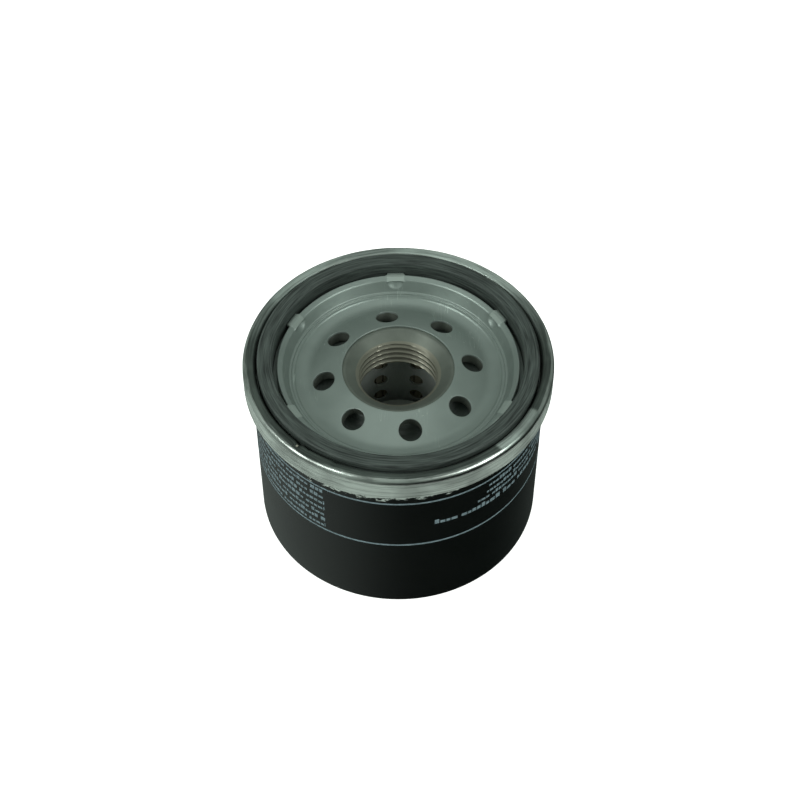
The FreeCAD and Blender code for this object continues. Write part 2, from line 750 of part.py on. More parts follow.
def make_bypass_cage():
    """Windowed steel cage over the poppet, which backs the spring and guides the stem."""
    guide = "(stem_radius + guide_gap)"
    body = turned(
        "bypass_cage",
        [
            (CAGE_INNER, CAGE_FOOT),
            (CAGE_FLANGE, CAGE_FOOT),
            (CAGE_FLANGE, f"{CAGE_FOOT} + cage_sheet"),
            (CAGE_OUTER, f"{CAGE_FOOT} + cage_sheet"),
            (CAGE_OUTER, CAGE_TOP),
            (guide, CAGE_TOP),
            (guide, f"{CAGE_TOP} - cage_sheet"),
            (CAGE_INNER, f"{CAGE_TOP} - cage_sheet"),
        ],
    )
    before = body.Shape.Volume
    sketch = new_sketch(body, "window_outline", "YZ_Plane")
    low = f"({CAGE_FOOT} + window_margin)"
    high = f"({CAGE_TOP} - window_margin)"
    draw_outline(
        sketch,
        [
            ("-window_width / 2", low),
            ("window_width / 2", low),
            ("window_width / 2", high),
            ("-window_width / 2", high),
        ],
    )
    pocket = body.newObject("PartDesign::Pocket", "window")
    pocket.Profile = sketch
    pocket.setExpression("Length", bound(f"{CAGE_OUTER} + cage_sheet"))
    repeat_round(body, pocket, "windows", "window_count")
    one = number_of(f"window_width * ({high} - {low}) * cage_sheet")
    check_removed(body, before, number_of("window_count") * one)
    return body


def make_coil(label, wire, radius, turns, low, high):
    """Coil spring of round wire between two heights."""
    body = new_body(label)
    sketch = new_sketch(body, f"{label}_wire")
    draw_circle(sketch, (radius, f"{low} + {wire} / 2"), f"{wire} / 2")
    coil = body.newObject("PartDesign::AdditiveHelix", f"{label}_coil")
    coil.Profile = sketch
    coil.ReferenceAxis = (sketch, ["V_Axis"])
    coil.Mode = "height-turns-angle"
    coil.setExpression("Height", bound(f"{high} - {low} - {wire}"))
    coil.setExpression("Turns", bound(turns))
    document.recompute()
    return body


def make_springs():
    """The bypass spring in its cage, and the spring that lifts the element to the plate."""
    radius = "(boss_radius + bypass_spring_gap + bypass_wire / 2)"
    roof = f"({CAGE_TOP} - cage_sheet)"
    bypass = make_coil("bypass_spring", "bypass_wire", radius, "bypass_turns", POPPET_TOP, roof)
    element = make_coil(
        "element_spring",
        "element_wire",
        "element_spring_radius",
        "element_turns",
        CAN_FLOOR,
        ELEMENT_BOTTOM,
    )
    return [bypass, element]


def check_model(pieces):
    """Stops the build if any object failed or any piece isn't one valid solid."""
    for item in document.Objects:
        if {"Invalid", "Error"} & set(item.State):
            raise RuntimeError(f"{item.Name} failed: {item.State}")
    for piece in pieces:
        shape = piece.Shape
        if shape.isNull() or not shape.isValid() or len(shape.Solids) != 1:
            raise RuntimeError(f"{piece.Label} isn't one valid solid")


def main():
    """Builds every piece and writes one STEP file for each."""
    write_sheet()
    pieces = [
        make_can(),
        make_lid(),
        make_base_plate(),
        make_gasket(),
        make_seam_compound(),
        make_drainback_valve(),
        make_upper_end_cap(),
        make_lower_end_cap(),
        make_centre_tube(),
        make_filter_media(),
        make_media_seam_clip(),
        *make_pottings(),
        make_bypass_seat(),
        make_bypass_seal(),
        make_bypass_poppet(),
        make_bypass_cage(),
        *make_springs(),
    ]
    document.recompute()
    check_model(pieces)
    os.makedirs(OUT_FOLDER, exist_ok=True)
    for piece in pieces:
        piece.Shape.exportStep(os.path.join(OUT_FOLDER, f"{piece.Label}.step"))
        print(f"{piece.Label}: {piece.Shape.Volume:.1f} mm3")


main()
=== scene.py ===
"""Looks of a spin-on oil filter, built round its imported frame.

Every length below is in millimetres until a mesh is made, with Z from the foot of the can.
"""

import logging
import math
import random
from collections.abc import Callable, Sequence
from dataclasses import dataclass, field
from enum import Enum

import bmesh
import bpy
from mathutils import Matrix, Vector, noise

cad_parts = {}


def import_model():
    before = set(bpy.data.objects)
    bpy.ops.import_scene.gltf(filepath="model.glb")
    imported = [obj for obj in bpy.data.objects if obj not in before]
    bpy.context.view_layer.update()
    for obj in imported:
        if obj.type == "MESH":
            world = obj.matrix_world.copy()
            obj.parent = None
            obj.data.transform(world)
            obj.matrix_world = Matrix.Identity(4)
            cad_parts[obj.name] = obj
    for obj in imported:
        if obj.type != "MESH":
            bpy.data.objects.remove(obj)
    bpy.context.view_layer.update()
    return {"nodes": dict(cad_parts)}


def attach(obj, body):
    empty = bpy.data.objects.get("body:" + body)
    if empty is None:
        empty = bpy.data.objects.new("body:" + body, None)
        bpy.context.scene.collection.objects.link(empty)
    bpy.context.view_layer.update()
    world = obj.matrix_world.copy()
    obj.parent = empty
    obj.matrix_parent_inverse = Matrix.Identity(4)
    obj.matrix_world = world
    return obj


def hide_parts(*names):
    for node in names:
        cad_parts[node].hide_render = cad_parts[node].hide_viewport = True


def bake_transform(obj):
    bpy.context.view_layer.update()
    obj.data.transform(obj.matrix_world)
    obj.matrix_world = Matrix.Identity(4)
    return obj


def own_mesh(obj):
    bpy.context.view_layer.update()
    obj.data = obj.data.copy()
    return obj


MM = 0.001
COLUMNS = 576  # divisions round the axis, 0.35 mm apart at the can wall
SHARP = math.radians(38)

log = logging.getLogger("oil_filter")

Tree = bpy.types.NodeTree
Socket = bpy.types.NodeSocket
Point = tuple[float, float, float]
Corner = tuple[float, float, float, int]


class Body(str, Enum):
    """The bodies of the frame that pieces ride on."""

    HOUSING = "housing"
    ELEMENT = "element"
    BYPASS = "bypass_valve"
    FLAP = "drainback_flap"


class Slot(str, Enum):
    """The record's material slots."""

    ENAMEL = "can_enamel"
    ZINC = "zinc_sheet"
    STEEL = "raw_steel"
    NITRILE = "nitrile_rubber"
    COMPOUND = "lining_compound"
    VALVE_RUBBER = "valve_rubber"
    CAP = "cap_steel"
    PAPER = "filter_paper"
    PLASTISOL = "plastisol"
    VALVE_STEEL = "valve_steel"
    SPRING = "spring_steel"


# ---------------------------------------------------------------- materials


def linear(code: str) -> tuple[float, float, float, float]:
    """Turns an sRGB hex colour into the linear colour that shaders use.

    Args:
        code: Six hex digits after a hash sign.

    Returns:
        Red, green, blue and an alpha of 1.
    """
    parts = [int(code[i : i + 2], 16) / 255 for i in (1, 3, 5)]
    red, green, blue = (c / 12.92 if c <= 0.04045 else ((c + 0.055) / 1.055) ** 2.4 for c in parts)
    return red, green, blue, 1.0


def add_node(
    tree: Tree, kind: str, links: dict | None = None, out: str | int | None = 0, **settings
) -> Socket | bpy.types.Node:
    """Adds a node with its settings, constants and incoming links.

    Args:
        tree: The node tree that gets the node.
        kind: The node's type name, after its usual beginning.
        links: Input name or number, to a constant or to the socket that feeds it.
        out: Name or number of the output to return, or None for the node itself.
        settings: The node's own properties.

    Returns:
        The output socket, or the node.
    """
    node = tree.nodes.new("ShaderNode" + kind)
    for name, value in settings.items():
        setattr(node, name, value)
    for place, value in (links or {}).items():
        socket = node.inputs[place]
        if isinstance(value, Socket):
            tree.links.new(value, socket)
        else:
            socket.default_value = value
    return node if out is None else node.outputs[out]


def fine(size: float) -> float:
    """Returns the texture scale whose features are size mm across."""
    return 1 / (size * MM)


def lay(tree: Tree, base, *coats: tuple, kind: str = "RGBA") -> Socket:
    """Lays coats over a base colour or value, one on top of another.

    Args:
        tree: The node tree.
        base: The colour, the value or the socket at the bottom.
        coats: Each coat's cover, from 0 to 1, and its colour or value.
        kind: RGBA for colours, FLOAT for values.

    Returns:
        The socket of what shows in the end.
    """
    first, out = (6, 2) if kind == "RGBA" else (2, 0)
    for cover, coat in coats:
        base = add_node(tree, "Mix", {0: cover, first: base, first + 1: coat}, out, data_type=kind)
    return base


def combine(tree: Tree, operation: str, *values) -> Socket:
    """Works the values into one by the same sum, one after another."""
    total = values[0]
    for value in values[1:]:
        total = add_node(tree, "Math", {0: total, 1: value}, operation=operation)
    return total


def flattened(tree: Tree, place: Socket) -> Socket:
    """Returns each point's offset from the axis, with no height."""
    return add_node(tree, "VectorMath", {0: place, 1: (1, 1, 0)}, operation="MULTIPLY")


def off_axis(tree: Tree, place: Socket) -> Socket:
    """Returns each point's distance from the axis, in metres."""
    return add_node(tree, "VectorMath", {0: flattened(tree, place)}, "Value", operation="LENGTH")


def streaks(
    tree: Tree, place: Socket, radius: float, run: float, across: float, detail: float, rough: float = 0.5
) -> Socket:
    """Makes noise that is drawn out round the axis, without a seam.

    Args:
        tree: The material's node tree.
        place: Object coordinates in metres.
        radius: Typical radius of the surface, in mm.
        run: Length of a mark along the circle, in mm.
        across: Width of a mark, in mm.
        detail: Layers of finer noise.
        rough: Strength of each finer layer beside the one before.

    Returns:
        The noise, about 0.5 on average.
    """
    unit = add_node(tree, "VectorMath", {0: flattened(tree, place)}, operation="NORMALIZE")
    turn = add_node(tree, "VectorMath", {0: unit, "Scale": radius / run}, operation="SCALE")
    level = combine(tree, "ADD", off_axis(tree, place), add_node(tree, "SeparateXYZ", {0: place}, "Z"))
    stack = add_node(tree, "CombineXYZ", {"Z": combine(tree, "MULTIPLY", level, fine(across))})
    both = add_node(tree, "VectorMath", {0: turn, 1: stack}, operation="ADD")
    return add_node(tree, "TexNoise", {0: both, "Scale": 1.0, "Detail": detail, "Roughness": rough})


@dataclass(frozen=True)
class Finish:
    """What every finish has: its name, colours and gloss."""

    name: str
    colour: str
    second: str
    roughness: float
    metallic: float = 0.0

    def material(self) -> bpy.types.Material:
        """Returns the finish's material, made once."""
        found = bpy.data.materials.get(self.name)
        if found:
            return found
        made = bpy.data.materials.new(self.name)
        made.use_nodes = True
        tree = made.node_tree
        tree.nodes.clear()
        looks = {"Base Color": linear(self.colour), "Roughness": self.roughness, "Metallic": self.metallic}
        surface = add_node(tree, "BsdfPrincipled", looks)
        add_node(tree, "OutputMaterial", {"Surface": surface}, None)
        self.weave(tree, add_node(tree, "TexCoord", out="Object"), surface.node)
        return made

    def weave(self, tree: Tree, place: Socket, shader: bpy.types.Node) -> None:
        """Adds the finish's own pattern."""
        raise NotImplementedError

    def shade(self, tree: Tree, shader, amount: Socket, spread: float) -> tuple[Socket, Socket]:
        """Lets a pattern mix the two colours and move the roughness.

        Args:
            tree: The material's node tree.
            shader: Its surface shader.
            amount: The pattern, from 0 to 1.
            spread: How far the roughness moves over the pattern's range.

        Returns:
            The colour and the roughness, so that more can be laid over them.
        """
        colour = lay(tree, linear(self.colour), (amount, linear(self.second)))
        half = spread / 2
        rough = add_node(tree, "MapRange", {0: amount, 3: self.roughness - half, 4: self.roughness + half})
        tree.links.new(colour, shader.inputs["Base Color"])
        tree.links.new(rough, shader.inputs["Roughness"])
        return colour, rough

    def relief(self, tree: Tree, shader, height: Socket, depth: float) -> None:
        """Raises the surface by a pattern, depth mm high."""
        bump = add_node(tree, "Bump", {"Height": height, "Distance": depth * MM, "Strength": 1.0})
        tree.links.new(bump, shader.inputs["Normal"])


@dataclass(frozen=True)
class StovingEnamel(Finish):
    """Black stoving enamel, roller coated on the steel before the can is drawn.

    The eye sees deep black with a soft broad gloss, faint orange peel, and pale scuffs under the seam.
    """

    peel: float = 1.1
    scuff: str = "#939D96"
    scuff_low: float = 36.9
    scuff_high: float = 40.5
    scuff_side: Point = (-0.56, -0.83, 0.0)

    def weave(self, tree, place, shader) -> None:
        """Adds orange peel, cloudy gloss and scuffs."""
        cloud = add_node(tree, "TexNoise", {0: place, "Scale": fine(14), "Detail": 3.0})
        peel = add_node(tree, "TexNoise", {0: place, "Scale": fine(self.peel), "Detail": 1.0})
        colour, _ = self.shade(tree, shader, cloud, 0.10)
        self.relief(tree, shader, peel, 0.006)
        shader.inputs["IOR"].default_value = 1.45
        # Scuffs show where the noise, the nearness to the seam and the side it faces add up to enough.
        height = add_node(tree, "SeparateXYZ", {0: place}, "Z")
        ends = {1: self.scuff_low * MM, 2: self.scuff_high * MM, 3: -0.42, 4: 0.04}
        near = add_node(tree, "MapRange", {0: height, **ends})
        facing = {0: place, 1: self.scuff_side}
        toward = add_node(tree, "VectorMath", facing, "Value", operation="DOT_PRODUCT")
        side = add_node(tree, "MapRange", {0: toward, 1: 10 * MM, 2: 27 * MM, 4: 0.17})
        total = combine(tree, "ADD", streaks(tree, place, 32.5, 2.0, 0.8, 5.0, 0.7), near, side)
        worn = add_node(tree, "MapRange", {0: total, 1: 0.58, 2: 0.62})
        tree.links.new(lay(tree, colour, (worn, linear(self.scuff))), shader.inputs["Base Color"])


@dataclass(frozen=True)
class ZincSheet(Finish):
    """Electro-galvanised mild steel sheet, passivated and left unpainted.

    The eye sees a matt grey-green sheet with fine cloudiness, rings left by the draw die, short
    scratches, and a brighter band where the seaming rollers burnished it.
    """

    cloud: float = 5.0
    grain: float = 0.35
    scratch: str = "#C9D2CC"
    # The seam's crown is painted darker than the sheet: a painted dark reflection of the room.
    crown: str = "#565E59"
    # The crown's back side is painted lighter: a painted highlight.
    crown_back_highlight: str = "#B4BEB8"
    burnished: str = "#D3DAD4"
    skirt: str = "#A8B2AB"
    # A paler patch about 6 mm round on the seam's front right, over the crown's pressed-flat part.
    front_patch_colour: str = "#B4BEB8"
    front_patch_place: Point = (25.6, -20.4, 48.0)
    # The nib tops are painted lighter than the sheet: a painted highlight.
    nib_highlight: str = "#A6B0AA"
    lug_count: int = 6
    lug_first: float = 31.5
    shift: float = 0.8

    def nib_highlight_cover(self, tree: Tree, axes, top: Socket, outside: Socket) -> Socket:
        """Returns the cover of the nib tops' painted highlight, by counting sectors of one nib each."""
        turn = add_node(tree, "Math", {0: axes["Y"], 1: axes["X"]}, operation="ARCTAN2")
        for operation, second, third in (
            ("MULTIPLY_ADD", self.lug_count / math.tau, -self.lug_first * self.lug_count / 360),
            ("WRAP", 0.5, -0.5),
            ("ABSOLUTE", 0.0, 0.0),
        ):
            turn = add_node(tree, "Math", {0: turn, 1: second, 2: third}, operation=operation)
        within = add_node(tree, "MapRange", {0: turn, 1: 0.076, 2: 0.068})
        return combine(tree, "MULTIPLY", within, top, outside)

    def scratches(self, tree: Tree, place: Socket) -> Socket:
        """Returns scratches a few mm long and 0.08 mm wide, as level lines of stretched noise."""
        lines = []
        for spin, gap in ((0.6, 0.0035), (-0.9, 0.0025)):
            stretch = {"Rotation": (0, 0, spin), "Scale": (fine(1.2), fine(14), fine(14))}
            lie = add_node(tree, "Mapping", {0: place, **stretch})
            wave = add_node(tree, "TexNoise", {0: lie, "Scale": 1.0, "Detail": 1.0})
            lines.append(add_node(tree, "Math", {0: wave, 1: 0.5, 2: gap}, operation="COMPARE"))
        some = add_node(tree, "TexNoise", {0: place, "Scale": fine(7), "Detail": 0.0})
        where = add_node(tree, "MapRange", {0: some, 1: 0.60, 2: 0.68, 4: 0.4})
        return combine(tree, "MULTIPLY", combine(tree, "MAXIMUM", *lines), where)

    def weave(self, tree, place, shader) -> None:
        """Adds clouds, grain, draw rings, scratches and the rolled seam."""
        cloud = add_node(tree, "TexNoise", {0: place, "Scale": fine(self.cloud), "Detail": 5.0})
        grain = add_node(tree, "TexNoise", {0: place, "Scale": fine(self.grain), "Detail": 2.0})
        rings = streaks(tree, place, 25, 18, 0.22, 2.0)
        rolled = streaks(tree, place, 33, 11, 0.45, 4.0, 0.6)
        colour, rough = self.shade(tree, shader, cloud, 0.12)
        reach = off_axis(tree, place)
        axes = add_node(tree, "SeparateXYZ", {0: place}, None).outputs
        # The rollers' marks shift each edge of the bands a little.
        shift = add_node(tree, "MapRange", {0: rolled, 3: -self.shift * MM, 4: self.shift * MM})
        middle = tuple(c * MM for c in self.front_patch_place)
        away = add_node(tree, "VectorMath", {0: place, 1: middle}, "Value", operation="DISTANCE")
        seam, edge, below, front_patch_cover, back_highlight_cover, nib_top, nib_outside = (
            add_node(
                tree, "MapRange", {0: value, 1: start * MM, 2: end * MM}, interpolation_type="SMOOTHSTEP"
            )
            for value, start, end in (
                (reach, 31.2, 31.7),
                (combine(tree, "ADD", reach, shift), 33.2, 33.9),
                (combine(tree, "ADD", axes["Z"], shift), 47.3, 46.6),
                (away, 7.0, 6.0),
                # Cover of the painted highlight on the seam's back side, growing towards the back.
                (axes["Y"], 2, 26),
                (axes["Z"], 45.4, 45.6),
                (reach, 25.1, 25.3),
            )
        )
        low = combine(tree, "MULTIPLY", below, seam)
        colour = lay(
            tree,
            colour,
            (self.scratches(tree, place), linear(self.scratch)),
            # Painted highlight on the nib tops.
            (self.nib_highlight_cover(tree, axes, nib_top, nib_outside), linear(self.nib_highlight)),
            # The seam is painted darker as a painted reflection, and lighter on its back side as a painted
            # highlight.
            (seam, lay(tree, linear(self.crown), (back_highlight_cover, linear(self.crown_back_highlight)))),
            (edge, linear(self.burnished)),
            (front_patch_cover, linear(self.front_patch_colour)),
            (low, linear(self.skirt)),
        )
        # The rollers leave darker and lighter lines round the seam, with broad stains over them.
        lines = add_node(tree, "MapRange", {0: rolled, 1: 0.36, 2: 0.52, 3: 0.55})
        broad = add_node(tree, "TexNoise", {0: place, "Scale": fine(11), "Detail": 3.0})
        grime = add_node(tree, "MapRange", {0: broad, 1: 0.4, 2: 0.56, 3: 0.7, 4: 1.05})
        marks = lay(tree, 1.0, (seam, combine(tree, "MULTIPLY", lines, grime)), kind="FLOAT")
        looks = {
            "Base Color": add_node(tree, "VectorMath", {0: colour, "Scale": marks}, operation="SCALE"),
            "Roughness": lay(tree, rough, (edge, 0.3), (low, 0.5), kind="FLOAT"),
            "Metallic": lay(tree, self.metallic, (edge, 1.0), (low, 0.45), kind="FLOAT"),
        }
        for name, socket in looks.items():
            tree.links.new(socket, shader.inputs[name])
        skin = add_node(tree, "Math", {0: grain, 1: 0.4, 2: rings}, operation="MULTIPLY_ADD")
        self.relief(tree, shader, lay(tree, skin, (seam, rolled), kind="FLOAT"), 0.005)


@dataclass(frozen=True)
class OiledSteel(Finish):
    """Hot-rolled mild steel, pressed, turned and tapped, with a film of rust-preventing oil.

    The eye sees a warm brownish grey with fine turning rings and yellowish thread crests.
    """

    pitch: float = 0.16
    cut: str = "#8B897C"
    cut_roughness: float = 0.3
    cut_full: float = 9.35
    cut_from: float = 9.6

    def weave(self, tree, place, shader) -> None:
        """Adds turning rings, cloudy oil, and bare bright metal where the tap has cut."""
        oil = add_node(tree, "TexNoise", {0: place, "Scale": fine(2.5), "Detail": 4.0})
        ends = {1: self.cut_from * MM, 2: self.cut_full * MM}
        tapped = add_node(tree, "MapRange", {0: off_axis(tree, place), **ends})
        colour = lay(tree, linear(self.colour), (oil, linear(self.second)), (tapped, linear(self.cut)))
        keen = lay(tree, self.roughness, (tapped, self.cut_roughness), kind="FLOAT")
        tree.links.new(colour, shader.inputs["Base Color"])
        tree.links.new(keen, shader.inputs["Roughness"])
        self.relief(tree, shader, streaks(tree, place, 10, 25, self.pitch, 1.0), 0.006)


@dataclass(frozen=True)
class MouldedRubber(Finish):
    """Nitrile rubber, moulded or cut from a lathe-turned tube.

    The eye sees matt charcoal with fine streaks round the ring and a dusty bloom.
    """

    streak: float = 0.3
    radius: float = 29.4
    depth: float = 0.05

    def weave(self, tree, place, shader) -> None:
        """Adds streaks round the ring and bloom."""
        marks = streaks(tree, place, self.radius, 7, self.streak, 4.0)
        self.shade(tree, shader, add_node(tree, "MapRange", {0: marks, 1: 0.32, 2: 0.68}), 0.12)
        self.relief(tree, shader, marks, self.depth)
        shader.inputs["Specular IOR Level"].default_value = 0.4


@dataclass(frozen=True)
class Tinplate(Finish):
    """Cold-rolled tinplate, pressed.

    The eye sees bright satin metal with faint rolling lines all one way.
    """

    line: float = 0.12

    def weave(self, tree, place, shader) -> None:
        """Adds rolling lines."""
        stretch = add_node(tree, "Mapping", {0: place, "Scale": (fine(12), fine(self.line), fine(self.line))})
        lines = add_node(tree, "TexNoise", {0: stretch, "Scale": 1.0, "Detail": 2.0})
        self.shade(tree, shader, lines, 0.14)
        self.relief(tree, shader, lines, 0.003)


@dataclass(frozen=True)
class FilterPaper(Finish):
    """Cellulose filter paper, soaked in phenolic resin and cured.

    The eye sees a dull ochre sheet with short fibres.
    """

    fibre: float = 0.25

    def weave(self, tree, place, shader) -> None:
        """Adds fibres and uneven resin."""
        grain = {"Scale": fine(self.fibre), "Detail": 6.0, "Distortion": 1.5}
        fibres = add_node(tree, "TexNoise", {0: place, **grain})
        self.shade(tree, shader, fibres, 0.08)
        self.relief(tree, shader, fibres, 0.04)


@dataclass(frozen=True)
class Plastisol(Finish):
    """PVC plastisol adhesive, poured and cured in the caps.

    The eye sees a smooth, slightly waxy solid with small bubbles.
    """

    bubble: float = 0.9

    def weave(self, tree, place, shader) -> None:
        """Adds bubbles in the skin."""
        cells = add_node(tree, "TexVoronoi", {0: place, "Scale": fine(self.bubble)})
        rounds = add_node(tree, "MapRange", {0: cells, 1: 0.05, 2: 0.35})
        self.shade(tree, shader, rounds, 0.1)
        self.relief(tree, shader, rounds, 0.03)


@dataclass(frozen=True)
class SpringWire(Finish):
    """Patented, drawn spring wire.

    The eye sees dark satin steel with hair-fine draw lines.
    """

    line: float = 0.15

    def weave(self, tree, place, shader) -> None:
        """Adds draw lines along the coils."""
        lines = streaks(tree, place, 10, 12, self.line, 2.0)
        self.shade(tree, shader, lines, 0.12)
        self.relief(tree, shader, lines, 0.004)


@dataclass(frozen=True)
class PrintingInk(Finish):
    """Pale litho ink, printed on the enamel before baking.

    The eye sees thin blue-grey print, a little uneven where the enamel shows through.
    """

    patch: float = 0.8

    def weave(self, tree, place, shader) -> None:
        """Adds uneven cover."""
        cover = add_node(tree, "TexNoise", {0: place, "Scale": fine(self.patch), "Detail": 3.0})
        self.shade(tree, shader, add_node(tree, "MapRange", {0: cover, 1: 0.35, 2: 0.7}), 0.1)
        self.relief(tree, shader, cover, 0.004)


@dataclass(frozen=True)
class StudioPaper(Finish):
    """White background paper under the object.

    The eye sees an even, almost shadowless white.
    """

    glow: float = 1.0

    def weave(self, tree, place, shader) -> None:
        """Adds a faint tooth, and lights the paper through from below."""
        tooth = add_node(tree, "TexNoise", {0: place, "Scale": fine(2.0), "Detail": 2.0})
        self.shade(tree, shader, tooth, 0.05)
        shader.inputs["Emission Color"].default_value = linear(self.colour)
        shader.inputs["Emission Strength"].default_value = self.glow


ENAMEL = StovingEnamel("black_stoving_enamel", "#060807", "#0B0E0D", 0.34)
ZINC = ZincSheet("zinc_plated_sheet", "#87918C", "#959F9A", 0.44, 0.7)
OILED = OiledSteel("oiled_mild_steel", "#656A63", "#7A7F77", 0.45, 0.7)
GASKET_RUBBER = MouldedRubber("cut_nitrile_rubber", "#202523", "#515955", 0.6)
# The valve rubber is lighter than real black rubber: painted light, so that the valve in shadow under the
# inlet holes reads dark grey.
VALVE_RUBBER = MouldedRubber(
    "moulded_nitrile_rubber", "#565C58", "#626864", 0.6, streak=0.6, radius=17, depth=0.02
)
COMPOUND = Plastisol("water_based_lining_compound", "#B9B7A8", "#A3A193", 0.6, bubble=0.4)
CAP_TIN = Tinplate("pressed_tinplate", "#A9ABA6", "#BFC0BA", 0.4, 0.6)
TUBE_TIN = Tinplate("oiled_tube_tinplate", "#A4A9A5", "#B0B5B1", 0.6, 0.1)
VALVE_TIN = Tinplate("zinc_flashed_valve_steel", "#B0B3AC", "#C4C7C0", 0.5, 0.4)
PAPER = FilterPaper("resin_treated_filter_paper", "#7C7664", "#8B8573", 0.85)
POTTING = Plastisol("cured_plastisol", "#8E2F22", "#7A261B", 0.45)
WIRE = SpringWire("drawn_spring_wire", "#5A5B59", "#73746F", 0.3, 1.0)
INK = PrintingInk("pale_litho_ink", "#67797F", "#4D5C61", 0.5)
PAPER_SWEEP = StudioPaper("white_background_paper", "#F6F7F5", "#F1F3F0", 0.9)


# ---------------------------------------------------------------- mesh making


def trace(corners: Sequence[Corner], closed: bool = False, steps: int = 5) -> list[tuple[float, float]]:
    """Traces an outline in the half-plane of the axis, with its corners rounded.

    Args:
        corners: Radius, height, corner radius and divisions of the run that follows, in mm.
        closed: Whether the last corner joins the first.
        steps: Divisions of each rounded corner.

    Returns:
        The outline's points, as radius and height.
    """
    count = len(corners)
    rounded: list[tuple[list[Vector], int]] = []
    for i, (r, z, fillet, cuts) in enumerate(corners):
        here = Vector((r, z))
        if fillet <= 0 or (not closed and i in (0, count - 1)):
            rounded.append(([here], cuts))
            continue
        back = Vector(corners[i - 1][:2]) - here
        ahead = Vector(corners[(i + 1) % count][:2]) - here
        half = back.angle(ahead) / 2
        reach = min(fillet / math.tan(half), 0.48 * back.length, 0.48 * ahead.length)
        size = reach * math.tan(half)
        centre = here + (back.normalized() + ahead.normalized()).normalized() * (size / math.sin(half))
        first = here + back.normalized() * reach - centre
        last = here + ahead.normalized() * reach - centre
        sweep = first.angle(last)
        arc = [
            centre + (first * math.sin((1 - t) * sweep) + last * math.sin(t * sweep)) / math.sin(sweep)
            for t in (s / steps for s in range(steps + 1))
        ]
        rounded.append((arc, cuts))
    points: list[Vector] = []
    for i, (arc, cuts) in enumerate(rounded):
        points += arc
        if i == count - 1 and not closed:
            break
        start, end = arc[-1], rounded[(i + 1) % count][0][0]
        points += [start.lerp(end, k / cuts) for k in range(1, cuts)]
    return [(p.x, p.y) for p in points]


def polar(r: float, angle: float, z: float) -> Point:
    """Returns the point at a radius, an angle in radians and a height."""
    return r * math.cos(angle), r * math.sin(angle), z


@dataclass
class Draft:
    """Points and faces of one piece, gathered in mm and made into one closed smooth mesh."""

    name: str
    points: list[Point] = field(default_factory=list)
    faces: list[tuple[int, ...]] = field(default_factory=list)

    def grid(self, rows: Sequence[Sequence[Point]], wrap: bool = True) -> None:
        """Joins rows of points by quads.

        Args:
            rows: Rows of equal length.
            wrap: Whether the last column joins the first.
        """
        start, width = len(self.points), len(rows[0])
        for row in rows:
            self.points += row
        for i in range(len(rows) - 1):
            low, high = start + i * width, start + (i + 1) * width
            for j in range(width if wrap else width - 1):
                k = (j + 1) % width
                self.faces.append((low + j, low + k, high + k, high + j))

    def turn(
        self,
        outline: Sequence[tuple[float, float]],
        closed: bool = True,
        phase: float = 0.0,
        columns: int = COLUMNS,
        shape: Callable[[float, float, float], tuple[float, float]] | None = None,
    ) -> None:
        """Turns an outline round the axis.

        Args:
            outline: Points as radius and height.
            closed: Whether the last point joins the first.
            phase: Angle of the first column, in radians.
            columns: Divisions round the axis.
            shape: Moves a point, given its radius, height and angle, or None.
        """
        angles = [phase + math.tau * i / columns for i in range(columns)]
        rows = []
        for r, z in outline:
            row = []
            for angle in angles:
                new_r, new_z = shape(r, z, angle) if shape else (r, z)
                row.append(polar(new_r, angle, new_z))
            rows.append(row)
        if closed:
            rows.append(rows[0])
        self.grid(rows)

    def cap(self, loop: Sequence[Point]) -> None:
        """Closes a loop of points with one face."""
        start = len(self.points)
        self.points += loop
        self.faces.append(tuple(range(start, start + len(loop))))

    def make(self, finish: Finish, slot: Slot, ride: Body | None, *nodes: str) -> bpy.types.Object:
        """Makes the mesh object.

        Args:
            finish: Its finish.
            slot: Not used.
            ride: The body it rides on, or None to leave it unattached.
            nodes: The frame's nodes that it stands for.

        Returns:
            The new object.
        """
        mesh = bpy.data.meshes.new(self.name)
        mesh.from_pydata([(x * MM, y * MM, z * MM) for x, y, z in self.points], [], self.faces)
        work = bmesh.new()
        work.from_mesh(mesh)
        bmesh.ops.remove_doubles(work, verts=work.verts, dist=2e-6)
        bmesh.ops.recalc_face_normals(work, faces=work.faces)
        loose = sum(not edge.is_manifold for edge in work.edges)
        work.to_mesh(mesh)
        work.free()
        mesh.shade_smooth()
        mesh.set_sharp_from_angle(angle=SHARP)
        piece = bpy.data.objects.new(self.name, mesh)
        bpy.context.scene.collection.objects.link(piece)
        mesh.materials.append(finish.material())
        if ride:
            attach(piece, ride.value)
        if nodes:
            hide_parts(*nodes)
        log.info("%s: %d faces, %d open edges", self.name, len(mesh.polygons), loose)
        return piece


def waver(x: float, y: float, z: float, size: float) -> float:
    """Returns soft unevenness from -1 to 1, with features size mm across."""
    return noise.noise(Vector((x, y, z)) / size)


# ---------------------------------------------------------------- housing


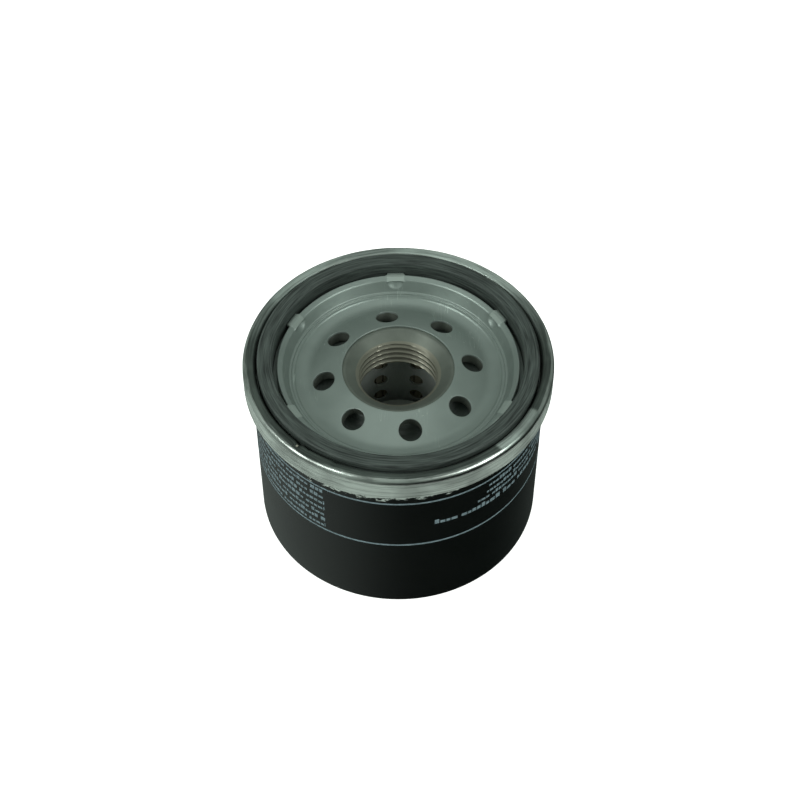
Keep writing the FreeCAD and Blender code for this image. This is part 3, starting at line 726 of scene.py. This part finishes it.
@dataclass
class InletHoles:
    """The eight inlet holes, square to the cone they are pierced in."""

    count: int = 8
    circle: float = 16.7
    first: float = math.radians(9)
    lean: float = math.atan2(3.0, 8.88)
    side_steps: int = 24
    land: float = 12.9
    edge: float = 19.25
    rounding: float = 0.1
    valley_edge: float = 22.9
    valley_rise: float = 0.5

    @property
    def half(self) -> float:
        """Half the angle of one hole's sector, in radians."""
        return math.pi / self.count

    @property
    def phase(self) -> float:
        """Angle where the first sector begins, in radians."""
        return self.first - self.half

    def valley(self, skin: Callable[[float], float]) -> list[tuple[float, float]]:
        """Returns the round-bottomed valley outside the holes, which runs on from a skin of the cone."""
        run = self.valley_edge - self.edge
        start = (skin(self.edge + 0.1) - skin(self.edge)) / 0.1
        bend = (self.valley_rise - start) / run
        steps = [run * i / 14 for i in range(15)]
        return [(self.edge + s, skin(self.edge) + start * s + bend * s * s / 2) for s in steps]

    def border(self) -> list[tuple[float, float]]:
        """Returns a sector's border as radius and angle from its middle, all the way round."""
        cuts = COLUMNS // self.count
        span = self.edge - self.land
        turns = [-self.half + 2 * self.half * i / cuts for i in range(cuts + 1)]
        radii = [self.land + span * i / self.side_steps for i in range(1, self.side_steps)]
        loop = [(self.land, a) for a in turns] + [(r, self.half) for r in radii]
        loop += [(self.edge, a) for a in reversed(turns)] + [(r, -self.half) for r in reversed(radii)]
        return loop

    def pierce(
        self,
        draft: Draft,
        top: Callable[[float], float],
        under: Callable[[float], float],
        radius: float,
        gauge: float,
    ) -> None:
        """Adds both skins of a pierced cone and the walls of its holes.

        Args:
            draft: The piece that gets them.
            top: Height of the top skin at a radius.
            under: Height of the under skin at a radius.
            radius: Radius of the holes.
            gauge: Thickness of the sheet along a hole.
        """
        shares = (0, 0.05, 0.12, 0.22, 0.36, 0.54, 0.76, 1)
        guide = self.border()
        turns = [
            math.atan2(r * math.sin(a), (r * math.cos(a) - self.circle) / math.cos(self.lean))
            for r, a in guide
        ]
        for k in range(self.count):
            middle = self.first + 2 * self.half * k

            def mouth(size: float, sink: float, skin: Callable[[float], float]) -> list[Point]:
                """Returns one loop round the hole, sunk along the hole's axis."""
                loop = []
                for turn in turns:
                    x = self.circle - math.sin(self.lean) * sink + size * math.cos(turn) * math.cos(self.lean)
                    y = size * math.sin(turn)
                    far, angle = math.hypot(x, y), math.atan2(y, x) + middle
                    loop.append(polar(far, angle, skin(far)))
                return loop

            loops = []
            for i, skin in enumerate((top, under)):
                border = [polar(r, a + middle, skin(r)) for r, a in guide]
                rim = mouth(radius + (self.rounding if i == 0 else 0), gauge * i, skin)
                rows = []
                for share in shares:
                    row = []
                    for near, far in zip(rim, border):
                        x = near[0] + (far[0] - near[0]) * share
                        y = near[1] + (far[1] - near[1]) * share
                        row.append((x, y, skin(math.hypot(x, y))))
                    rows.append(row)
                draft.grid(rows)
                loops.append(rim)
            wall = [loops[0]]
            for part in (0.3, 1.0):
                drop = self.rounding * part
                shrink = self.rounding * (1 - part) * 0.35
                wall.append(mouth(radius + shrink, drop, lambda far, d=drop: top(far) - d))
            wall.append(loops[1])
            draft.grid(wall)


@dataclass
class Can:
    """Deep-drawn can with a stepped foot."""

    radius: float = 32.5
    sheet: float = 0.45
    fold: float = 47.6

    def build(self) -> None:
        """Makes the can."""
        inner = self.radius - self.sheet
        outline = trace(
            [
                (0, 0.8, 0, 2), (19, 0.8, 0.9, 1), (20, 0, 0.9, 1), (self.radius, 0, 1.6, 12),
                (self.radius, self.fold - self.sheet, 0.1, 1), (33.25, self.fold - self.sheet, 0.1, 1),
                (33.25, 42.9, 0.05, 1), (33.7, 42.9, 0.05, 1), (33.7, self.fold, 0.4, 1),
                (inner, self.fold, 0.4, 6), (inner, self.sheet, 1.15, 2), (20, self.sheet, 0.9, 1),
                (19, 0.8 + self.sheet, 0.9, 2), (0, 0.8 + self.sheet, 0, 1),
            ],
            steps=8,
        )
        draft = Draft("drawn_can")
        draft.turn(outline, closed=False)
        draft.make(ENAMEL, Slot.ENAMEL, Body.HOUSING, "can")


@dataclass
class Lid:
    """Thin lid and gasket retainer, rolled with the can into a double seam."""

    holes: InletHoles
    sheet: float = 0.45
    hole_radius: float = 2.55
    nib_count: int = 6
    nib_first: float = math.radians(31.5)
    nib_face: float = 27.55
    nib_half: float = 2.0
    nib_ramp: float = 0.3
    nib_wall: float = 26.8
    dimple: float = 0.38
    flat_middle: float = math.radians(-38.5)
    flat_half: float = math.radians(13)
    flat_deep: float = 0.5
    flat_in: float = 0.26
    knock_middle: float = math.radians(-125)
    knock_half: float = 0.22
    knock_deep: float = 0.95
    uneven: float = 0.06
    shelf: float = 43.1
    rim: float = 46.4

    def top(self, r: float) -> float:
        """Returns the height of the cone's upper skin."""
        return 44.6 - (r - 12.42) * 3.0 / 8.88

    def under(self, r: float) -> float:
        """Returns the height of the cone's under skin."""
        return self.top(r) - self.sheet

    def press(self, r: float, z: float, angle: float) -> tuple[float, float]:
        """Presses the nibs out of the rim and makes the rolled seam a little uneven."""
        step = math.tau / self.nib_count
        off = (angle - self.nib_first + step / 2) % step - step / 2
        side = abs(r * math.sin(off))
        on_top = z > 45.95 or r < 24.5 + (z - self.shelf) / 1.94
        if 24.3 < r < 27.5 and z > 43.9 and (on_top or r > 26.7):
            window = 1 - min(max((side - self.nib_half) / self.nib_ramp + 0.5, 0), 1)
            window = window * window * (3 - 2 * window)
            if r > 26.3:
                rise = min(max((z - 44.9) / self.nib_ramp, 0), 1)
                share = min((r - 26.3) / 0.45, 1)
                r += window * rise * share * (self.nib_face / math.cos(off) - self.nib_wall)
            elif r > 25.25:
                z += window * (self.rim - 0.5 * (26.7 - r) - z)
            else:
                dome = 1 - (side / 1.65) ** 2 - ((z - 45.1) / 1.25) ** 2
                r += self.dimple * max(dome, 0)
        if r > 31.2 and z > 46.5:
            z -= self.knock(angle, z) * (1 if r < 32.9 else 0)
            flat = self.flattened(angle)
            if r < 32.7:
                r -= self.flat_in * flat
                z -= self.flat_deep * flat * (32.9 - r) / 1.4
        if r > 31.8 and z > 41.9:
            x, y = math.cos(angle) * 33, math.sin(angle) * 33
            uneven = waver(x, y, z, 6.0) * 0.6 + waver(x, y, z * 2, 1.9) * 0.4
            if r > 33.2 or z > 47.9:
                r += self.uneven * (uneven - 1)
            if z < 42.5:
                z += 2 * self.uneven * (uneven + 1)
        return r, z

    def flattened(self, angle: float) -> float:
        """Returns how far the seam's crown is pressed flat at an angle, from 0 to 1."""
        turn = math.remainder(angle - self.flat_middle, math.tau)
        return max(1 - (turn / self.flat_half) ** 2, 0) ** 0.7

    def knock(self, angle: float, z: float) -> float:
        """Returns the depth of the small knocks in the seam's inner crown, in mm."""
        turn = math.remainder(angle - self.knock_middle, math.tau)
        near = math.exp(-((turn / self.knock_half) ** 2))
        x, y = math.cos(angle) * 33, math.sin(angle) * 33
        return near * self.knock_deep * max(waver(x, y, z, 1.9) + 0.1, 0)

    def build(self) -> None:
        """Makes the lid."""
        outline = self.holes.valley(self.top)
        outline += trace(
            [
                (23.0, 42.72, 0, 1), (23.06, 42.8, 0.06, 2), (23.6, 42.84, 0.12, 2),
                (23.74, 43.16, 0.12, 2), (24.22, 43.22, 0.3, 22), (25.5, 45.75, 0.8, 6),
                (26.8, 46.4, 0.25, 14), (26.8, 43.75, 0.2, 6), (31.5, 43.75, 0.3, 6),
                (31.5, 48.2, 0.8, 4), (34.3, 48.2, 1.05, 14), (34.3, 42.2, 0.42, 2),
                (32.65, 42.2, 0.15, 1), (32.65, 46.9, 0.1, 1), (33.1, 46.9, 0.1, 1),
                (33.1, 42.65, 0.05, 1), (33.85, 42.65, 0.05, 1), (33.85, 47.5, 0.4, 1),
                (31.95, 47.75, 0.4, 4), (31.95, 43.3, 0.3, 1), (26.35, 43.3, 0.1, 4),
                (26.35, 45.82, 0.1, 4), (24.425, 42.7, 0.2, 1), (23.425, 42.4, 0.1, 1),
                (23.125, 42.25, 0, 1),
            ],
            steps=6,
        )
        outline += reversed(self.holes.valley(self.under))
        draft = Draft("rolled_lid")
        draft.turn(outline, closed=False, phase=self.holes.phase, shape=self.press)
        lip = trace(
            [
                (12.9, self.under(12.9), 0, 1), (12.42, self.under(12.42), 0.08, 2),
                (12.42, self.top(12.42), 0.14, 1), (12.9, self.top(12.9), 0, 1),
            ],
            steps=4,
        )
        draft.turn(lip, closed=False, phase=self.holes.phase)
        gauge = self.sheet * math.cos(self.holes.lean)
        self.holes.pierce(draft, self.top, self.under, self.hole_radius, gauge)
        draft.make(ZINC, Slot.ZINC, Body.HOUSING, "lid")


@dataclass
class BasePlate:
    """Thick steel plate under the lid, drawn down into a threaded neck."""

    holes: InletHoles
    hole_radius: float = 2.75
    gauge: float = 2.3
    crest: float = 8.75
    thread_depth: float = 0.775
    pitch: float = 1.5875
    neck: float = 11.625
    bottom: float = 36.4
    mouth: float = 42.3
    crown: float = 44.15
    row_height: float = 0.055

    def top(self, r: float) -> float:
        """Returns the height of the cone's upper skin."""
        return 44.15 - (r - 12.42) * 3.0 / 8.88

    def under(self, r: float) -> float:
        """Returns the height of the cone's under skin."""
        return 41.75 - (r - 11.625) * 2.43 / 7.975

    def flare(self, z: float) -> float:
        """Returns the radius of the flared mouth at a height."""
        return self.crest + max(z - self.mouth, 0) * (11.82 - self.crest) / (self.crown - self.mouth)

    def bore(self, r: float, z: float, angle: float) -> tuple[float, float]:
        """Cuts the right-hand thread into the bore."""
        turn = (z - self.bottom + 0.25 * self.pitch) / self.pitch - angle / math.tau
        off = abs((turn % 1) - 0.5) * self.pitch
        root = self.pitch / 16
        cut = self.thread_depth - max(off - root, 0) / math.tan(math.radians(30))
        deep = self.crest + min(max(cut, 0), self.thread_depth)
        return max(self.flare(z), deep), z

    def build(self) -> None:
        """Makes the plate and its threaded neck."""
        phase = self.holes.phase
        draft = Draft("threaded_base_plate")
        rim = self.holes.valley(self.top)
        rim += trace(
            [
                (23.225, 42.2, 0, 1), (24.525, 42.62, 0.3, 1), (24.95, 43.3, 0.3, 1),
                (31.4, 43.3, 0.4, 1), (31.4, 40.9, 0.4, 1), (25.4, 40.9, 0.8, 1), (22.9, 39.75, 0.8, 1),
                (19.6, 39.32, 0.9, 1), (self.holes.edge, self.under(self.holes.edge), 0, 1),
            ],
        )
        draft.turn(rim, closed=False, phase=phase)
        self.holes.pierce(draft, self.top, self.under, self.hole_radius, self.gauge)
        outside = trace(
            [
                (12.9, self.under(12.9), 0, 2), (self.neck, 41.75, 0.6, 6),
                (self.neck, self.bottom, 0, 1),
            ],
        )
        draft.turn(outside, closed=False, phase=phase)
        count = int((self.mouth + 0.55 - self.bottom) / self.row_height)
        heights = [self.bottom + i * self.row_height for i in range(count + 1)]
        inside = [(self.crest, z) for z in heights]
        draft.turn(inside, closed=False, phase=phase, shape=self.bore)
        turns = [phase + math.tau * i / COLUMNS for i in range(COLUMNS)]
        outer = [polar(self.neck, a, self.bottom) for a in turns]
        inner = [polar(self.bore(self.crest, self.bottom, a)[0], a, self.bottom) for a in turns]
        draft.grid([outer, inner])
        mouth = trace(
            [
                (self.flare(heights[-1]), heights[-1], 0, 8), (11.82, self.crown, 1.2, 1),
                (12.42, self.crown, 0.1, 1), (12.9, self.top(12.9), 0, 1),
            ],
            steps=8,
        )
        draft.turn(mouth, closed=False, phase=phase)
        draft.make(OILED, Slot.STEEL, Body.HOUSING, "base_plate")


@dataclass
class Gasket:
    """Square-cut sealing ring, held in the lid's groove by the nibs."""

    inner: float = 27.67
    outer: float = 31.06
    low: float = 43.75
    high: float = 49.0
    edge: float = 0.5

    def sag(self, r: float, z: float, angle: float) -> tuple[float, float]:
        """Makes the rubber a little uneven, always inward of its size."""
        x, y = math.cos(angle) * r, math.sin(angle) * r
        soft = waver(x, y, z, 7.0) - 1
        middle = (self.inner + self.outer) / 2
        r += (0.03 if r < middle else -0.03) * -soft
        if z > self.low + 1:
            z += 0.04 * soft
        return r, z

    def build(self) -> None:
        """Makes the gasket."""
        outline = trace(
            [
                (self.inner, self.low, 0.2, 8), (self.inner, self.high, self.edge, 8),
                (self.outer, self.high, self.edge, 8), (self.outer, self.low, 0.2, 4),
            ],
            closed=True,
            steps=6,
        )
        draft = Draft("sealing_ring")
        draft.turn(outline, shape=self.sag)
        draft.make(GASKET_RUBBER, Slot.NITRILE, Body.HOUSING, "sealing_gasket")


@dataclass
class FlatRing:
    """Thin flat ring with eased edges: the seam's bead of compound, or the poppet's rubber seal."""

    name: str
    inner: float
    outer: float
    low: float
    high: float
    lower_ease: float
    upper_ease: float
    columns: int

    def build(self, finish: Finish, slot: Slot, ride: Body, node: str) -> None:
        """Makes the ring.

        Args:
            finish: Its finish.
            slot: Not used.
            ride: The body it rides on.
            node: The frame's node that it stands for.
        """
        corners = [
            (self.inner, self.low, self.lower_ease, 3),
            (self.outer, self.low, self.lower_ease, 1),
            (self.outer, self.high, self.upper_ease, 3),
            (self.inner, self.high, self.upper_ease, 1),
        ]
        draft = Draft(self.name)
        draft.turn(trace(corners, closed=True), columns=self.columns)
        draft.make(finish, slot, ride, node)


@dataclass
class DrainbackValve:
    """Rubber valve: a collar round the neck and a lip that covers the inlet holes."""

    bore: float = 11.675
    foot: float = 35.9
    lip_level: float = 39.1

    def build(self) -> None:
        """Makes the valve."""
        outline = trace(
            [
                (self.bore, self.foot, 0.15, 4), (15.075, self.foot, 0.35, 3), (15.075, 37.2, 0.6, 14),
                (21.1, 38.515, 0.48, 1), (21.1, 39.515, 0.48, 4), (19.6, 39.32, 0.8, 14),
                (13.275, 38.2, 0.8, 5), (13.275, 40.9, 0.35, 3), (self.bore, 40.9, 0.2, 10),
            ],
            closed=True,
        )
        draft = Draft("drainback_lip_valve")
        draft.turn(outline, columns=288)
        piece = draft.make(VALVE_RUBBER, Slot.VALVE_RUBBER, None, "drainback_valve")
        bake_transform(piece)


@dataclass
class PrintedBand:
    """Print on the can: two lines round it, and panels of generic dashes between them."""

    radius: float = 32.5
    proud: float = 0.022
    sunk: float = 0.04
    line_levels: tuple[float, float] = (22.9, 37.9)
    line_width: float = 0.48
    seed: int = 11
    # Height, size of a dash, first and last angle of each row of bold print.
    bold_rows: tuple[tuple[float, float, float, float], ...] = (
        (30.2, 1.45, -76, 6),
        (32.4, 1.1, -58, 4),
        (34.2, 1.05, -54, 8),
        (36.2, 1.15, -53, 2),
    )

    def strip(self, draft: Draft, low: float, high: float, start: float, end: float) -> None:
        """Adds one closed bar on the wall, between two heights and two angles in radians."""
        cuts = max(2, math.ceil((end - start) * self.radius / 0.6))
        inner, outer = self.radius - self.sunk, self.radius + self.proud
        rows = []
        for i in range(cuts + 1):
            angle = start + (end - start) * i / cuts
            rows.append(
                [polar(r, angle, z) for r, z in ((inner, low), (outer, low), (outer, high), (inner, high))]
            )
        draft.grid(rows)
        draft.cap(rows[0])
        draft.cap(rows[-1])

    def row(
        self, draft: Draft, dice: random.Random, level: float, size: float, start: float, end: float
    ) -> None:
        """Adds one row of dashes of uneven length, as generic print.

        Args:
            draft: The piece that gets the dashes.
            dice: The source of the lengths.
            level: Height of the row's middle.
            size: Height of a dash.
            start: Angle where the row begins, in degrees.
            end: Angle where it ends, in degrees.
        """
        place, stop = math.radians(start), math.radians(end)
        left = dice.randint(3, 9)
        while place < stop:
            long = dice.uniform(0.5, 1.0) * size
            tall = size * dice.choice((0.6, 0.6, 0.75, 1.0))
            finish = min(place + long / self.radius, stop)
            self.strip(draft, level - size / 2, level - size / 2 + tall, place, finish)
            left -= 1
            gap = 0.2 * size if left else 0.7 * size
            if not left:
                left = dice.randint(3, 9)
            place = finish + gap / self.radius

    def build(self) -> None:
        """Makes the lines and the two panels."""
        lines = Draft("printed_lines")
        half = self.line_width / 2
        inner, outer = self.radius - self.sunk, self.radius + self.proud
        for level in self.line_levels:
            low, high = level - half, level + half
            lines.turn([(inner, low), (outer, low), (outer, high), (inner, high)])
        lines.make(INK, Slot.ENAMEL, Body.HOUSING)
        dice = random.Random(self.seed)
        small = Draft("printed_small_panel")
        for i in range(7):
            self.row(small, dice, 24.5 + 2.02 * i, 1.15, -168 + dice.uniform(-1, 1), -119.5)
        small.make(INK, Slot.ENAMEL, Body.HOUSING)
        bold = Draft("printed_bold_panel")
        for sizes in self.bold_rows:
            self.row(bold, dice, *sizes)
        bold.make(INK, Slot.ENAMEL, Body.HOUSING)


# ---------------------------------------------------------------- inside


@dataclass
class CoilSpring:
    """Coil spring of round wire with closed, ground ends."""

    name: str
    wire: float
    radius: float
    turns: float
    low: float
    high: float
    steps: int = 48
    sides: int = 14

    def build(self, ride: Body, node: str, joint: str, anchor: float, keep: float) -> None:
        """Makes the spring.

        Args:
            ride: The body it rides on.
            node: The frame's node that it stands for.
            joint: Not used.
            anchor: Not used.
            keep: Not used.
        """
        half = self.wire / 2
        bottom, top = self.low + half * 0.55, self.high - half * 0.55
        rows = []
        count = round(self.steps * self.turns)
        for i in range(count + 1):
            turn = self.turns * i / count
            share = min(max((turn - 0.6) / (self.turns - 1.2), 0), 1)
            z = bottom + (top - bottom) * (share * 0.9 + 0.1 * share * share * (3 - 2 * share))
            angle = turn * math.tau
            row = []
            for k in range(self.sides):
                spin = math.tau * k / self.sides
                r = self.radius + half * math.cos(spin)
                level = min(max(z + half * math.sin(spin), self.low), self.high)
                row.append(polar(r, angle, level))
            rows.append(row)
        draft = Draft(self.name)
        draft.grid(rows)
        draft.cap(rows[0])
        draft.cap(rows[-1])
        piece = draft.make(WIRE, Slot.SPRING, ride, node)
        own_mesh(piece)


@dataclass
class Cartridge:
    """The filter element and bypass valve, whose pieces keep the frame's shapes."""

    finishes: tuple[tuple[str, Finish], ...] = (
        ("upper_end_cap", CAP_TIN),
        ("lower_end_cap", CAP_TIN),
        ("centre_tube", TUBE_TIN),
        ("media_seam_clip", CAP_TIN),
        ("filter_media", PAPER),
        ("lower_potting", POTTING),
        ("upper_potting", POTTING),
        ("bypass_seat", VALVE_TIN),
        ("bypass_cage", VALVE_TIN),
        ("bypass_poppet", VALVE_TIN),
    )

    def build(self, nodes: dict[str, bpy.types.Object]) -> None:
        """Dresses the frame's own pieces and makes the springs and the seal.

        Args:
            nodes: The frame's nodes by name.
        """
        for name, finish in self.finishes:
            slots = nodes[name].data.materials
            slots.clear()
            slots.append(finish.material())
            log.info("%s: %s", name, finish.name)
        FlatRing("bypass_seal_ring", 7.2, 9.4, 10.7, 11.5, 0.25, 0.1, 192).build(
            VALVE_RUBBER, Slot.VALVE_RUBBER, Body.BYPASS, "bypass_seal"
        )
        CoilSpring("element_coil", 1.4, 13.0, 3.5, 1.25, 9.0).build(
            Body.HOUSING, "element_spring", "element_float", 1.25, 6.75 / 7.75
        )
        CoilSpring("bypass_coil", 0.9, 5.5, 5.0, 12.0, 19.4).build(
            Body.ELEMENT, "bypass_spring", "bypass_lift", 19.4, 4.9 / 7.4
        )


# ---------------------------------------------------------------- studio


@dataclass
class Lamp:
    """One softbox."""

    name: str
    place: Point
    size: tuple[float, float]
    power: float
    colour: str = "#F1F8F4"
    aim: Point = (0, 0, 0.04)

    def build(self) -> None:
        """Hangs the softbox and aims it."""
        light = bpy.data.lights.new(self.name, "AREA")
        light.shape = "RECTANGLE"
        light.size, light.size_y = self.size
        light.energy = self.power
        light.color = linear(self.colour)[:3]
        lamp = bpy.data.objects.new(self.name, light)
        lamp.location = self.place
        lamp.rotation_euler = (Vector(self.aim) - Vector(self.place)).to_track_quat("-Z", "Y").to_euler()
        lamp.visible_camera = False
        bpy.context.scene.collection.objects.link(lamp)


@dataclass
class Studio:
    """Pale floor, soft light and the camera."""

    camera_place: Point = (0.00036, -0.2421, 0.3261)
    camera_pitch: float = 39.59
    lens: float = 75.6
    floor_size: float = 3.0
    lamps: tuple[Lamp, ...] = (
        Lamp("overhead_softbox", (0.0, 0.12, 0.8), (0.5, 0.5), 0.6),
        Lamp("left_softbox", (-0.52, -0.26, 0.50), (0.34, 0.34), 2.6),
        Lamp("right_softbox", (0.50, -0.34, 0.46), (0.34, 0.34), 2.2),
        Lamp("back_softbox", (0.1, 0.7, 0.35), (0.7, 0.25), 0.2),
    )

    def floor(self) -> None:
        """Lays the paper."""
        side = self.floor_size / 2
        mesh = bpy.data.meshes.new("paper_sweep")
        low = -0.05 * MM  # just clear of the foot
        corners = [(-side, -side, low), (side, -side, low), (side, side, low), (-side, side, low)]
        mesh.from_pydata(corners, [], [(0, 1, 2, 3)])
        paper = bpy.data.objects.new("paper_sweep", mesh)
        mesh.materials.append(PAPER_SWEEP.material())
        bpy.context.scene.collection.objects.link(paper)
        paper.visible_glossy = False

    def surroundings(self) -> None:
        """Makes the room: pale behind the object, and darker where gloss mirrors it."""
        world = bpy.data.worlds.new("studio_room")
        bpy.context.scene.world = world
        world.use_nodes = True
        tree = world.node_tree
        tree.nodes.clear()
        way = add_node(tree, "TexCoord", out="Generated")
        axes = add_node(tree, "SeparateXYZ", {0: way}, None).outputs
        left, above = (
            add_node(tree, "MapRange", {0: axes[axis], 1: start, 2: end}, interpolation_type="SMOOTHSTEP")
            for axis, start, end in (("X", 0.15, -0.75), ("Z", -0.15, 0.15))
        )
        behind = add_node(tree, "MapRange", {0: axes["Y"], 2: 0.5, 4: 0.35})
        seen = add_node(tree, "LightPath", out="Is Camera Ray")
        room = lay(
            tree,
            linear("#060807"),
            (left, linear("#9DA8A2")),
            (behind, linear("#7C8781")),
            (above, linear("#87928C")),
            (seen, linear("#FFFFFF")),
        )
        back = add_node(tree, "Background", {"Color": room, "Strength": 1.0})
        add_node(tree, "OutputWorld", {"Surface": back}, None)

    def camera(self) -> None:
        """Sets the camera up."""
        lens = bpy.data.cameras.new("studio_camera")
        lens.lens = self.lens
        lens.sensor_width = 36
        lens.clip_start = 0.01
        camera = bpy.data.objects.new("studio_camera", lens)
        camera.location = self.camera_place
        camera.rotation_euler = (math.radians(self.camera_pitch), 0, 0)
        bpy.context.scene.collection.objects.link(camera)
        bpy.context.scene.camera = camera

    def build(self) -> None:
        """Makes the whole studio."""
        self.camera()
        self.floor()
        self.surroundings()
        for lamp in self.lamps:
            lamp.build()
        bpy.context.scene.view_settings.view_transform = "Standard"
        log.info("studio: %d softboxes", len(self.lamps))


def main() -> None:
    """Builds the filter round its frame."""
    logging.basicConfig(level=logging.INFO, format="%(name)s %(message)s")
    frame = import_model()
    Studio().build()
    holes = InletHoles()
    Can().build()
    Lid(holes).build()
    BasePlate(holes).build()
    Gasket().build()
    FlatRing("seam_bead", 32.16, 33.45, 47.6, 47.75, 0.05, 0.05, 288).build(
        COMPOUND, Slot.COMPOUND, Body.HOUSING, "seam_compound"
    )
    DrainbackValve().build()
    PrintedBand().build()
    Cartridge().build(frame["nodes"])


if __name__ == "__main__":
    main()
